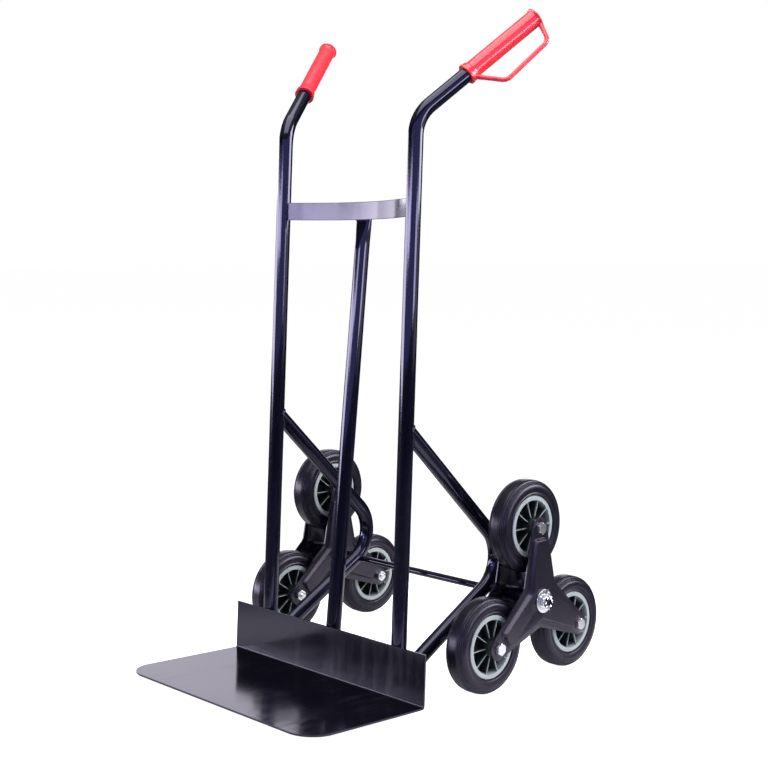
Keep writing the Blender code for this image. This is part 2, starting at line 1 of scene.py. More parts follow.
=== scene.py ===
"""The finished look of a stair-climbing hand truck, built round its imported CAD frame.

Every CAD node is replaced by a finer piece of the same size in the same place. Frame
pieces are modelled in the truck's own upright axes and then leaned back. Turned and
pressed pieces are modelled with local Z outboard and local Y upward. Metres throughout."""

import json
import math

import bmesh
import bpy
from mathutils import Euler, Matrix, Vector


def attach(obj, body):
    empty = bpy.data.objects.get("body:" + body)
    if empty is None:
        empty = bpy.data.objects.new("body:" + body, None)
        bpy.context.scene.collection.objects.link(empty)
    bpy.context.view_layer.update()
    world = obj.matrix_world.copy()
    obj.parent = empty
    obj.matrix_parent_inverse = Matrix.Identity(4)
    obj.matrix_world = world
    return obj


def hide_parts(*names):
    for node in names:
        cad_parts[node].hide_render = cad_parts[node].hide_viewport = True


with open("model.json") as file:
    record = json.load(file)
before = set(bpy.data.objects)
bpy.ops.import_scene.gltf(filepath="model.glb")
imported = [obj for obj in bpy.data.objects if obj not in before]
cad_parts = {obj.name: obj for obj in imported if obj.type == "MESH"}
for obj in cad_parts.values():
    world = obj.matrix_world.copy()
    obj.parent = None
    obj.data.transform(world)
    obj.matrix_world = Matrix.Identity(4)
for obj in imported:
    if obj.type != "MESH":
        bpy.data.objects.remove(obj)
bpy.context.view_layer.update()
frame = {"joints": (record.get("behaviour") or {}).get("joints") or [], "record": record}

GAP = 0.0003
# Shading angle in degrees that keeps a flat face flat beside its eased edge.
FLAT_FACED = 20

TUBE_RADIUS = 0.0125
TUBE_WALL = 0.0016
SIDE_TUBE_X = 0.157
TUBE_FOOT_Z = 0.0045

PLATE_HALF_WIDTH = 0.229
PLATE_THICKNESS = 0.003
PLATE_FRONT_Y = -0.248
PLATE_CORNER_RADIUS = 0.045
FLANGE_HEIGHT = 0.084
FLANGE_BACK_Y = -(TUBE_RADIUS + GAP)
HEEL_RADIUS = 0.005

CROSSBAR_Z = 0.771
CROSSBAR_HEIGHT = 0.030
CROSSBAR_THICKNESS = 0.003
CROSSBAR_BOW = 0.036

PRESSED_THICKNESS = 0.012
PRESSED_TOP_Z = CROSSBAR_Z + 0.010
PRESSING_LENGTH = 0.050

HANDLE_CORNER_Z = 0.913
HANDLE_DIRECTION = Vector((0.351, 0.662, 0.662)).normalized()
HANDLE_BEND_RADIUS = 0.065
GRIP_START = 0.1075
GRIP_LENGTH = 0.1530
GRIP_RADIUS = 0.0145
GRIP_RIM_RADIUS = 0.0175
GRIP_CAP_THICKNESS = 0.004
GUARD_BAR_RADIUS = 0.0037
GUARD_TURN = math.radians(38)

AXLE_Y = 0.207
AXLE_Z = 0.1465
AXLE_RADIUS = 0.006
AXLE_HALF_LENGTH = 0.2908
AXLE_THREAD = 0.0145

BRACE_TOP_Z = 0.4225
BRACE_FOOT_Z = 0.0247
BRACE_CORNER_Y = 0.2656
BRACE_CORNER_Z = 0.1888
BRACE_BEND_RADIUS = 0.060

WHEEL_X = 0.239
WHEEL_RADIUS = 0.0753
TYRE_HALF_WIDTH = 0.019
TYRE_RIDGE = 0.0011
TYRE_GROOVES = 4
RIM_RADIUS = 0.0502
RIM_HALF_WIDTH = 0.017
RIM_RING_THICKNESS = 0.0060
RIB_COUNT = 10
WEB_THICKNESS = 0.004
RIM_HUB_RADIUS = 0.012
RIM_HUB_HALF_LENGTH = 0.027

ARM = 0.1175
STAR_THICKNESS = 0.0025
STAR_EMBOSS = 0.007
STAR_INSIDE_X = 0.029
STAR_HOLLOW_RADIUS = 0.012
# Outlines: an arm's half width and corner radius, its reach, and the waist between arms.
STAR_LIP = (0.0175, 0.0150, ARM + 0.0175, 0.0450)
STAR_SLOPE_FOOT = (0.0155, 0.0060, ARM - 0.0165, 0.0350)
STAR_SLOPE_TOP = (0.0120, 0.0045, ARM - 0.0200, 0.0285)
STAR_FLAT_MARGIN = 0.0006
HUB_TUBE_RADIUS = 0.014

BOLT_RADIUS = 0.005
HEXAGON_RADIUS = 0.0098
BOLT_HEAD_HEIGHT = 0.0064
NUT_HEIGHT = 0.008
SLEEVE_RADIUS = 0.0075
THREAD_PITCH = 0.0015
THREAD_DEPTH = 0.0006

SPACER_RADIUS = 0.010
WASHER_RADIUS = 0.019
WASHER_THICKNESS = 0.0022
CASTLE_NUT_RADIUS = 0.012
CASTLE_NUT_HEIGHT = 0.009
CROWN_RADIUS = 0.0095
CROWN_HEIGHT = 0.0036
PIN_WIRE_RADIUS = 0.0007
PIN_HALF_WIDTH = 0.0009
PIN_HOLE_RADIUS = 0.0019

WELD_RADIUS = 0.0021
WELD_RIPPLE = 0.0024
WELD_PROUD = 0.0006

SIDES = {"left": -1, "right": 1}
ARMS = ("top", "rear", "front")

STAR_OUTSIDE_X = STAR_INSIDE_X + STAR_THICKNESS
EMBOSS_X = STAR_OUTSIDE_X + STAR_EMBOSS
WASHER_X = WHEEL_X + EMBOSS_X + GAP
CASTLE_NUT_X = WASHER_X + WASHER_THICKNESS + GAP
PIN_X = CASTLE_NUT_X + CASTLE_NUT_HEIGHT - CROWN_HEIGHT / 2

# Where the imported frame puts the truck: its lean, the axle and the wheels.
JOINT_AT = {joint["child"]: Vector(joint["pos_m"]) for joint in frame["joints"]}
PLATE_UP = next(m["axis"] for m in frame["record"]["mounts"] if m["name"] == "plate_top")
LEAN = math.atan2(PLATE_UP[1], PLATE_UP[2])
HUB = JOINT_AT["cluster_right"]
TRUCK = (
    Matrix.Translation((0, HUB.y, HUB.z))
    @ Matrix.Rotation(-LEAN, 4, "X")
    @ Matrix.Translation((0, -AXLE_Y, -AXLE_Z))
)


# Mesh tools


def mesh_of(work, name):
    bmesh.ops.recalc_face_normals(work, faces=work.faces)
    mesh = bpy.data.meshes.new(name)
    work.to_mesh(mesh)
    work.free()
    return mesh


def smooth(mesh, degrees=35):
    mesh.shade_smooth()
    mesh.set_sharp_from_angle(angle=math.radians(degrees))
    return mesh


def fillet(points, radius, steps):
    """The path through the points, with each inner corner rounded to the radius."""
    points = [Vector(point) for point in points]
    path = [points[0]]
    for before, corner, after in zip(points, points[1:], points[2:]):
        to_before = (before - corner).normalized()
        to_after = (after - corner).normalized()
        half = to_before.angle(to_after) / 2
        centre = corner + (to_before + to_after).normalized() * radius / math.sin(half)
        start = corner + to_before * radius / math.tan(half) - centre
        end = corner + to_after * radius / math.tan(half) - centre
        sweep_angle = start.angle(end)
        for step in range(steps + 1):
            turned_by = sweep_angle * step / steps
            arm = start * math.sin(sweep_angle - turned_by) + end * math.sin(turned_by)
            path.append(centre + arm / math.sin(sweep_angle))
    path.append(points[-1])
    return path


def full_turn(steps):
    return [2 * math.pi * step / steps for step in range(steps)]


def arc(centre, radius, start, end, steps):
    angles = [start + (end - start) * step / steps for step in range(steps + 1)]
    return [Vector(centre) + Vector((math.cos(a), math.sin(a))) * radius for a in angles]


def bridge(work, rings, closed):
    """Quads between each ring of vertices and the next, and back to the first if closed."""
    following = rings[1:] + rings[:1] if closed else rings[1:]
    for low, high in zip(rings, following):
        for i in range(len(low)):
            j = (i + 1) % len(low)
            work.faces.new((low[i], low[j], high[j], high[i]))


def loft(name, sections, capped=True, closed=False):
    """Skin through sections with the same number of points. It gets flat ends if capped,
    and runs on from its last section to its first if closed."""
    work = bmesh.new()
    rings = [[work.verts.new(point) for point in section] for section in sections]
    bridge(work, rings, closed)
    if capped:
        work.faces.new(reversed(rings[0]))
        work.faces.new(rings[-1])
    return mesh_of(work, name)


def prism(name, outline, depth):
    """A flat outline in local XY, extruded evenly to both sides of the plane."""
    ends = (-depth / 2, depth / 2)
    return loft(name, [[(point.x, point.y, z) for point in outline] for z in ends])


def round_section(centre, across, up, radius, sides):
    angles = full_turn(sides)
    return [centre + (across * math.cos(a) + up * math.sin(a)) * radius for a in angles]


def neighbours(path, index, closed=False):
    """The points before and after. Each end of an open path is its own neighbour."""
    if closed:
        return path[index - 1], path[(index + 1) % len(path)]
    return path[max(index - 1, 0)], path[min(index + 1, len(path) - 1)]


def sweep(name, path, radius, sides, capped=True):
    """A round bar along the path. The radius is a function of the share of the way."""
    across = (path[1] - path[0]).normalized().orthogonal().normalized()
    sections = []
    for index, point in enumerate(path):
        before, after = neighbours(path, index)
        ahead = (after - before).normalized()
        across = (across - ahead * across.dot(ahead)).normalized()
        size = radius(index / (len(path) - 1))
        sections.append(round_section(point, across, ahead.cross(across), size, sides))
    return smooth(loft(name, sections, capped), 50)


def turned(name, profile, steps=96, degrees=35):
    """A turned solid about local Z. The profile holds (radius, height) pairs and either
    starts and ends on the axis or closes on itself round a bore."""
    solid = profile[0][0] == 0
    if solid:
        profile = profile[1:-1]
    angles = full_turn(steps)
    sections = [[(r * math.cos(a), r * math.sin(a), z) for a in angles] for r, z in profile]
    return smooth(loft(name, sections, capped=solid, closed=not solid), degrees)


def rod(name, radius, low, high, steps=48):
    return turned(name, [(0, low), (radius, low), (radius, high), (0, high)], steps)


def ring_profile(inner, outer, low, high, edge):
    """A ring's closed section with its outer edges eased."""
    return [
        (inner, low),
        (outer - edge, low),
        (outer - edge * 0.3, low + edge * 0.3),
        (outer, low + edge),
        (outer, high - edge),
        (outer - edge * 0.3, high - edge * 0.3),
        (outer - edge, high),
        (inner, high),
    ]


def threaded(radius, low, high):
    """Profile points of a threaded stretch: a ridge for each pitch."""
    points = []
    for index in range(int((high - low) / THREAD_PITCH)):
        start = low + index * THREAD_PITCH
        points += [(radius - THREAD_DEPTH, start), (radius, start + THREAD_PITCH / 2)]
    return points


def helper(mesh, place=Matrix()):
    obj = bpy.data.objects.new("helper", mesh)
    bpy.context.scene.collection.objects.link(obj)
    obj.matrix_world = place
    return obj


def cutting(mesh, place=Matrix(), operation="DIFFERENCE"):
    other = helper(mesh, place)
    return "BOOLEAN", {"operation": operation, "solver": "EXACT", "object": other}


def walled(thickness, offset):
    return "SOLIDIFY", {"thickness": thickness, "offset": offset}


def eased(width, degrees=35, segments=2):
    settings = {"width": width, "segments": segments, "limit_method": "ANGLE"}
    return "BEVEL", {**settings, "angle_limit": math.radians(degrees)}


def reshape(mesh, *changes):
    """The mesh after these modifiers. The helper objects that they use are removed."""
    used = [helper(mesh)]
    for kind, settings in changes:
        modifier = used[0].modifiers.new(kind, kind)
        for key, value in settings.items():
            setattr(modifier, key, value)
        if "object" in settings:
            used.append(settings["object"])
    graph = bpy.context.evaluated_depsgraph_get()
    result = bpy.data.meshes.new_from_object(used[0].evaluated_get(graph))
    for obj in used:
        bpy.data.objects.remove(obj, do_unlink=True)
    return result


# Materials


def new_look(name, sockets):
    look = bpy.data.materials.new(f"{name}_finish")
    look.use_nodes = True
    shader = look.node_tree.nodes["Principled BSDF"]
    for socket, value in sockets.items():
        shader.inputs[socket].default_value = value
    return look.node_tree, shader


def mapped(tree, stretch=(1, 1, 1)):
    """The piece's own coordinates, stretched."""
    place = tree.nodes.new("ShaderNodeTexCoord")
    mapping = tree.nodes.new("ShaderNodeMapping")
    mapping.inputs["Scale"].default_value = stretch
    tree.links.new(place.outputs["Object"], mapping.inputs["Vector"])
    return mapping.outputs["Vector"]


def noise(tree, where, scale, detail=2.0):
    texture = tree.nodes.new("ShaderNodeTexNoise")
    texture.inputs["Scale"].default_value = scale
    texture.inputs["Detail"].default_value = detail
    tree.links.new(where, texture.inputs["Vector"])
    return texture.outputs["Fac"]


def spread(tree, value, low, high, to_low=0.0, to_high=1.0):
    """Maps the range low to high onto another range, and holds it there."""
    node = tree.nodes.new("ShaderNodeMapRange")
    for socket, number in zip(node.inputs[1:5], (low, high, to_low, to_high)):
        socket.default_value = number
    tree.links.new(value, node.inputs["Value"])
    return node.outputs["Result"]


def combined(tree, operation, first, second):
    node = tree.nodes.new("ShaderNodeMath")
    node.operation = operation
    for socket, value in zip(node.inputs, (first, second)):
        if isinstance(value, float):
            socket.default_value = value
        else:
            tree.links.new(value, socket)
    return node.outputs["Value"]


def blended(tree, share, first, second):
    """A colour between the two. Each is a plain colour or another node's output."""
    node = tree.nodes.new("ShaderNodeMix")
    node.data_type = "RGBA"
    tree.links.new(share, node.inputs["Factor"])
    for socket, colour in zip(node.inputs[6:8], (first, second)):
        if isinstance(colour, tuple):
            socket.default_value = (*colour, 1.0)
        else:
            tree.links.new(colour, socket)
    return node.outputs[2]


def bumped(tree, shader, layers):
    """Bumps from (height, depth in metres) pairs, one upon the other."""
    below = None
    for height, depth in layers:
        node = tree.nodes.new("ShaderNodeBump")
        node.inputs["Distance"].default_value = depth
        tree.links.new(height, node.inputs["Height"])
        if below:
            tree.links.new(below, node.inputs["Normal"])
        below = node.outputs["Normal"]
    tree.links.new(below, shader.inputs["Normal"])


def edges(tree):
    """1 where the surface turns sharply outward, 0 elsewhere."""
    geometry = tree.nodes.new("ShaderNodeNewGeometry")
    return spread(tree, geometry.outputs["Pointiness"], 0.57, 0.65)


def black_paint():
    """Glossy powder coat with orange peel, faintly rubbed through on its edges."""
    tree, shader = new_look(
        "black_paint",
        {"Specular IOR Level": 0.62, "Specular Tint": (0.72, 0.70, 1.0, 1.0)},
    )
    where = mapped(tree)
    clouds = noise(tree, where, 7.0, 3.0)
    specks = noise(tree, where, 160.0, 4.0)
    worn = combined(tree, "MULTIPLY", edges(tree), spread(tree, specks, 0.52, 0.68))
    paint = blended(tree, clouds, (0.0024, 0.0022, 0.0062), (0.0040, 0.0037, 0.0100))
    colour = blended(tree, worn, paint, (0.04, 0.038, 0.048))
    tree.links.new(colour, shader.inputs["Base Color"])
    gloss = spread(tree, clouds, 0.3, 0.7, 0.06, 0.11)
    rough = combined(tree, "ADD", gloss, spread(tree, worn, 0.0, 1.0, 0.0, 0.2))
    tree.links.new(rough, shader.inputs["Roughness"])
    bumped(tree, shader, [(noise(tree, where, 130.0), 0.00002)])
    return tree


def sheet_paint():
    """The same coat on the load plate, with faint rolling lines and scuffs."""
    tree, shader = new_look(
        "sheet_paint",
        {"Specular IOR Level": 0.60, "Specular Tint": (0.78, 0.75, 1.0, 1.0)},
    )
    where = mapped(tree)
    rolled = noise(tree, mapped(tree, (3.0, 260.0, 260.0)), 1.0, 3.0)
    scuffs = noise(tree, mapped(tree, (70.0, 9.0, 9.0)), 1.0, 5.0)
    clouds = noise(tree, where, 9.0, 4.0)
    scuffed = spread(tree, combined(tree, "MULTIPLY", scuffs, clouds), 0.26, 0.42)
    worn = combined(tree, "MULTIPLY", edges(tree), spread(tree, scuffs, 0.48, 0.6))
    marks = combined(tree, "MAXIMUM", combined(tree, "MULTIPLY", scuffed, 0.25), worn)
    paint = blended(tree, clouds, (0.0028, 0.0026, 0.0052), (0.0042, 0.0040, 0.0078))
    colour = blended(tree, marks, paint, (0.03, 0.028, 0.034))
    tree.links.new(colour, shader.inputs["Base Color"])
    gloss = spread(tree, clouds, 0.3, 0.7, 0.10, 0.15)
    rough = combined(tree, "ADD", gloss, spread(tree, scuffed, 0.0, 1.0, 0.0, 0.06))
    tree.links.new(rough, shader.inputs["Roughness"])
    peel = noise(tree, where, 130.0)
    bumped(tree, shader, [(peel, 0.00002), (rolled, 0.000012), (clouds, 0.0001)])
    return tree


def satin_paint():
    """Satin black coat of the pressed star plates, faintly rubbed through on its edges."""
    tree, shader = new_look(
        "satin_paint",
        {"Specular IOR Level": 0.65, "Specular Tint": (0.86, 0.78, 1.0, 1.0)},
    )
    where = mapped(tree)
    clouds = noise(tree, where, 22.0, 4.0)
    specks = noise(tree, where, 220.0, 4.0)
    worn = combined(tree, "MULTIPLY", edges(tree), spread(tree, specks, 0.45, 0.62))
    paint = blended(tree, clouds, (0.0032, 0.0025, 0.0058), (0.0056, 0.0044, 0.0092))
    colour = blended(tree, worn, paint, (0.11, 0.105, 0.13))
    tree.links.new(colour, shader.inputs["Base Color"])
    gloss = spread(tree, clouds, 0.3, 0.7, 0.24, 0.34)
    tree.links.new(gloss, shader.inputs["Roughness"])
    bumped(tree, shader, [(noise(tree, where, 500.0), 0.00003), (specks, 0.00002)])
    return tree


def red_plastic():
    """Glossy moulded grip plastic with a few smudges and faint flow marks."""
    tree, shader = new_look("red_plastic", {"Coat Weight": 0.3, "Coat Roughness": 0.12})
    where = mapped(tree)
    clouds = noise(tree, where, 25.0, 3.0)
    ripples = noise(tree, where, 110.0)
    smudges = spread(tree, noise(tree, where, 60.0, 5.0), 0.45, 0.7)
    colour = blended(tree, clouds, (0.88, 0.030, 0.045), (0.95, 0.042, 0.060))
    colour = blended(tree, combined(tree, "MULTIPLY", smudges, 0.10), colour, (0.50, 0.01, 0.015))
    tree.links.new(colour, shader.inputs["Base Color"])
    tree.links.new(spread(tree, clouds, 0.3, 0.7, 0.18, 0.26), shader.inputs["Roughness"])
    bumped(tree, shader, [(ripples, 0.00002), (clouds, 0.00005)])
    return tree


def tyre_rubber():
    """Solid rubber, a little dusty, with a fine pebbled skin."""
    tree, shader = new_look(
        "tyre_rubber",
        {"Specular IOR Level": 0.40, "Specular Tint": (0.84, 0.78, 1.0, 1.0)},
    )
    where = mapped(tree)
    clouds = noise(tree, where, 30.0, 4.0)
    pebbles = noise(tree, where, 650.0, 3.0)
    dust = spread(tree, noise(tree, where, 90.0, 6.0), 0.5, 0.75)
    colour = blended(tree, clouds, (0.0032, 0.0028, 0.0062), (0.0060, 0.0051, 0.0104))
    colour = blended(tree, combined(tree, "MULTIPLY", dust, 0.05), colour, (0.10, 0.09, 0.10))
    tree.links.new(colour, shader.inputs["Base Color"])
    tree.links.new(spread(tree, clouds, 0.3, 0.7, 0.25, 0.36), shader.inputs["Roughness"])
    bumped(tree, shader, [(pebbles, 0.00004), (clouds, 0.0002)])
    return tree


def rim_plastic():
    """Grey-green moulded plastic, with painted shade: near-black green down in the pockets between
    the ribs.
    """
    tree, shader = new_look("rim_plastic", {"Specular IOR Level": 0.45})
    where = mapped(tree)
    clouds = noise(tree, where, 40.0, 4.0)
    split = tree.nodes.new("ShaderNodeSeparateXYZ")
    tree.links.new(where, split.inputs["Vector"])
    height = combined(tree, "ABSOLUTE", split.outputs["Z"], 0.0)
    uneven = combined(tree, "ADD", height, spread(tree, clouds, 0.3, 0.7, -0.0008, 0.0008))
    across = combined(tree, "MULTIPLY", split.outputs["X"], split.outputs["X"])
    along = combined(tree, "MULTIPLY", split.outputs["Y"], split.outputs["Y"])
    radius = combined(tree, "SQRT", combined(tree, "ADD", across, along), 0.0)
    raised = spread(tree, uneven, 0.0145, RIM_HALF_WIDTH - 0.0004)
    ribs = combined(tree, "MULTIPLY", raised, spread(tree, radius, 0.014, 0.019))
    # Painted shade: below the rib faces and inside the ring, the pockets and the hub get a
    # near-black green instead of the pale plastic.
    outside_painted_shade = combined(tree, "MAXIMUM", ribs, spread(tree, radius, 0.0400, 0.0430))
    plastic = blended(tree, clouds, (0.30, 0.335, 0.325), (0.37, 0.405, 0.395))
    colour = blended(tree, outside_painted_shade, (0.010, 0.018, 0.015), plastic)
    tree.links.new(colour, shader.inputs["Base Color"])
    tree.links.new(spread(tree, clouds, 0.3, 0.7, 0.38, 0.5), shader.inputs["Roughness"])
    bumped(tree, shader, [(noise(tree, where, 700.0), 0.00002), (clouds, 0.0001)])
    return tree


def zinc_plate():
    """Bright zinc with a faint grain and duller patches."""
    tree, shader = new_look("zinc_plate", {"Metallic": 1.0})
    where = mapped(tree)
    clouds = noise(tree, where, 120.0, 4.0)
    grain = noise(tree, mapped(tree, (900.0, 60.0, 900.0)), 1.0, 2.0)
    stains = spread(tree, noise(tree, where, 380.0, 5.0), 0.5, 0.75)
    colour = blended(tree, clouds, (0.72, 0.73, 0.76), (0.86, 0.86, 0.88))
    colour = blended(tree, combined(tree, "MULTIPLY", stains, 0.25), colour, (0.50, 0.48, 0.47))
    tree.links.new(colour, shader.inputs["Base Color"])
    tree.links.new(spread(tree, clouds, 0.3, 0.7, 0.16, 0.32), shader.inputs["Roughness"])
    bumped(tree, shader, [(grain, 0.000008), (clouds, 0.00002)])
    return tree


LOOKS = {
    "black_paint": black_paint,
    "sheet_paint": sheet_paint,
    "satin_paint": satin_paint,
    "red_plastic": red_plastic,
    "tyre_rubber": tyre_rubber,
    "rim_plastic": rim_plastic,
    "zinc_plate": zinc_plate,
}


def look(name):
    """The material for that finish, made when it is first needed."""
    if f"{name}_finish" not in bpy.data.materials:
        LOOKS[name]()
    return bpy.data.materials[f"{name}_finish"]


def add_piece(node, mesh, place, finish, body="frame", stands_for=True):
    """A finished piece on its body. It takes the place of the CAD node of that name."""
    piece = bpy.data.objects.new(f"{node}_piece", mesh)
    bpy.context.scene.collection.objects.link(piece)
    if body == "frame":
        mesh.transform(place)
    else:
        piece.matrix_world = place
    mesh.materials.clear()
    mesh.materials.append(look(finish))
    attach(piece, body)
    if stands_for:
        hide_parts(node)
    return piece


def outboard(sign, spot=(0, 0, 0)):
    """Local Z points outboard on that side, and local Y upward."""
    turn = Euler((math.pi / 2, 0, sign * math.pi / 2)).to_matrix().to_4x4()
    return Matrix.Translation(spot) @ turn


def on_axle(sign):
    return TRUCK @ outboard(sign, (0, AXLE_Y, AXLE_Z))


# Frame


def handle_axis(sign):
    return Vector((sign * HANDLE_DIRECTION.x, HANDLE_DIRECTION.y, HANDLE_DIRECTION.z))


def handle_spot(sign, distance):
    """A point on the handle, that far beyond the corner of its bend."""
    corner = Vector((sign * SIDE_TUBE_X, 0, HANDLE_CORNER_Z))
    return corner + handle_axis(sign) * distance


def tube_skin(name, path):
    """The outer surface of the frame's round tube, open at both ends."""
    return sweep(name, path, lambda share: TUBE_RADIUS, 40, capped=False)


def side_tube(side, sign):
    foot = (sign * SIDE_TUBE_X, 0, TUBE_FOOT_Z)
    end = handle_spot(sign, GRIP_START + GRIP_LENGTH - GRIP_CAP_THICKNESS - GAP)
    path = fillet([foot, handle_spot(sign, 0), end], HANDLE_BEND_RADIUS, 24)
    mesh = smooth(reshape(tube_skin("side_tube", path), walled(TUBE_WALL, -1)))
    add_piece(f"side_tube_{side}", mesh, TRUCK, "black_paint")


def wheel_brace(side, sign):
    """Bent tube from the side tube back round the axle and forward to the foot."""
    x = sign * SIDE_TUBE_X
    corners = [
        (x, 0, BRACE_TOP_Z),
        (x, BRACE_CORNER_Y, BRACE_CORNER_Z),
        (x, 0, BRACE_FOOT_Z),
    ]
    skin = tube_skin("wheel_brace", fillet(corners, BRACE_BEND_RADIUS, 28))
    coping = rod("coping", TUBE_RADIUS + GAP, -0.1, 0.5, 64)
    hole = rod("axle_hole", AXLE_RADIUS + GAP, -0.02, 0.02)
    mesh = reshape(
        skin,
        walled(TUBE_WALL, -1),
        cutting(coping, Matrix.Translation((x, 0, 0))),
        cutting(hole, outboard(sign, (x, AXLE_Y, AXLE_Z))),
    )
    add_piece(f"wheel_brace_{side}", smooth(mesh), TRUCK, "black_paint")
    for end, start in (("top", corners[0]), ("foot", corners[2])):
        path = saddle(Vector(start), Vector(corners[1]))
        weld(f"weld_brace_{end}_{side}", path, closed=True)


def saddle(start, toward):
    """The line where a brace meets the upright tube that its axis starts from."""
    ahead = (toward - start).normalized()
    across = Vector((1, 0, 0))
    up = ahead.cross(across)
    path = []
    for angle in full_turn(240):
        rim = (across * math.cos(angle) + up * math.sin(angle)) * TUBE_RADIUS
        depth = math.sqrt((TUBE_RADIUS + GAP) ** 2 - rim.x**2)
        path.append(start + rim + ahead * (depth - rim.y) / ahead.y)
    return path


def weld(name, path, closed=False, radius=WELD_RADIUS):
    """A rippled weld bead along the path. An open bead fades out at both ends."""
    onward = path[1:] + path[:1] if closed else path[1:]
    length = sum((after - before).length for before, after in zip(path, onward))
    ripples = max(2, round(length / WELD_RIPPLE))
    middle = sum(path, Vector()) / len(path)
    sections = []
    for index, point in enumerate(path):
        before, after = neighbours(path, index, closed)
        ahead = (after - before).normalized()
        out = point - middle if closed else Vector((1, 0.3, 0.2))
        out = (out - ahead * out.dot(ahead)).normalized()
        share = index / len(onward)
        size = radius * (0.86 + 0.14 * abs(math.sin(math.pi * ripples * share)))
        if not closed:
            size *= math.sqrt(max(0.02, 1 - (2 * share - 1) ** 12))
        sections.append(round_section(point, out, ahead.cross(out), size, 10))
    mesh = smooth(loft(name, sections, capped=not closed, closed=closed), 60)
    add_piece(name, mesh, TRUCK, "black_paint", stands_for=False)


def line(start, end, steps=72):
    start, end = Vector(start), Vector(end)
    return [start.lerp(end, step / steps) for step in range(steps + 1)]


def circle(centre, radius, steps=160):
    return round_section(Vector(centre), Vector((1, 0, 0)), Vector((0, 1, 0)), radius, steps)


def frame_welds():
    """Beads at the feet of the uprights, behind the flange and at the crossbar's ends."""
    for name, x in (("left", -SIDE_TUBE_X), ("middle", 0), ("right", SIDE_TUBE_X)):
        weld(f"weld_foot_{name}", circle((x, 0, PLATE_THICKNESS + 0.0008), TUBE_RADIUS))
        for edge, way in (("a", -1), ("b", 1)):
            spot = x + way * 0.0042
            top = (spot, FLANGE_BACK_Y + WELD_PROUD, FLANGE_HEIGHT - 0.004)
            foot = (spot, FLANGE_BACK_Y + WELD_PROUD, FLANGE_HEIGHT - 0.030)
            weld(f"weld_flange_{name}_{edge}", line(foot, top))
    for side, sign in SIDES.items():
        x = sign * (SIDE_TUBE_X - TUBE_RADIUS + 0.0002)
        for face, y in (("front", -0.0022), ("back", 0.0030)):
            low = (x, y, CROSSBAR_Z - CROSSBAR_HEIGHT / 2 + 0.002)
            high = (x, y, CROSSBAR_Z + CROSSBAR_HEIGHT / 2 - 0.002)
            weld(f"weld_crossbar_{side}_{face}", line(low, high), radius=0.0017)
    back = CROSSBAR_BOW + CROSSBAR_THICKNESS / 2 + WELD_PROUD
    for name, z in (("top", PRESSED_TOP_Z), ("bottom", CROSSBAR_Z - CROSSBAR_HEIGHT / 2)):
        weld(f"weld_press_{name}", line((-0.014, back, z), (0.014, back, z)), radius=0.0015)


def eased_share(share, ramp=0.35):
    """Runs from 0 to 1 with a gentle start and end."""
    scale = 2 * ramp * (1 - ramp)
    if share < ramp:
        return share**2 / scale
    if share > 1 - ramp:
        return 1 - (1 - share) ** 2 / scale
    return (share - ramp / 2) / (1 - ramp)


def pressed_section(thickness):
    """Section in local XY of the round tube pressed to the thickness, girth unchanged."""
    straight = math.pi * (TUBE_RADIUS - thickness / 2) / 2
    section = []
    for step in range(48):
        angle = 2 * math.pi * (step + 0.5) / 48
        x = math.copysign(straight, math.cos(angle)) + thickness / 2 * math.cos(angle)
        section.append(Vector((x, thickness / 2 * math.sin(angle), 0)))
    return section


def centre_tube():
    """Middle upright. Its top is pressed flat against the back of the crossbar."""
    top_y = CROSSBAR_BOW + CROSSBAR_THICKNESS / 2 + GAP + PRESSED_THICKNESS / 2
    pressed_z = CROSSBAR_Z - CROSSBAR_HEIGHT / 2
    start_z = pressed_z - PRESSING_LENGTH
    heights = [TUBE_FOOT_Z, start_z / 2]
    heights += [start_z + PRESSING_LENGTH * step / 20 for step in range(21)]
    heights.append(PRESSED_TOP_Z)
    sections = []
    for z in heights:
        share = eased_share(min(1, max(0, (z - start_z) / PRESSING_LENGTH)))
        thickness = 2 * TUBE_RADIUS + share * (PRESSED_THICKNESS - 2 * TUBE_RADIUS)
        y = top_y * min(1, (z - TUBE_FOOT_Z) / (pressed_z - TUBE_FOOT_Z))
        middle = Vector((0, y, z))
        sections.append([point + middle for point in pressed_section(thickness)])
    skin = loft("centre_tube", sections, capped=False)
    mesh = smooth(reshape(skin, walled(TUBE_WALL, -1)))
    add_piece("centre_tube", mesh, TRUCK, "black_paint")


def crossbar():
    """Flat strip between the side tubes, bowed back in a shallow arc."""
    end_x = SIDE_TUBE_X - TUBE_RADIUS - CROSSBAR_THICKNESS / 2
    radius = (end_x**2 + CROSSBAR_BOW**2) / (2 * CROSSBAR_BOW)
    half_angle = math.asin(end_x / radius)
    ends = (math.pi / 2 + half_angle, math.pi / 2 - half_angle)
    centre = (0, CROSSBAR_BOW - radius)
    front = arc(centre, radius - CROSSBAR_THICKNESS / 2, *ends, 60)
    back = arc(centre, radius + CROSSBAR_THICKNESS / 2, *ends, 60)
    mesh = prism("crossbar", front + back[::-1], CROSSBAR_HEIGHT)
    mesh = smooth(reshape(mesh, eased(0.0007, 50)), FLAT_FACED)
    add_piece("crossbar", mesh, TRUCK @ Matrix.Translation((0, 0, CROSSBAR_Z)), "sheet_paint")


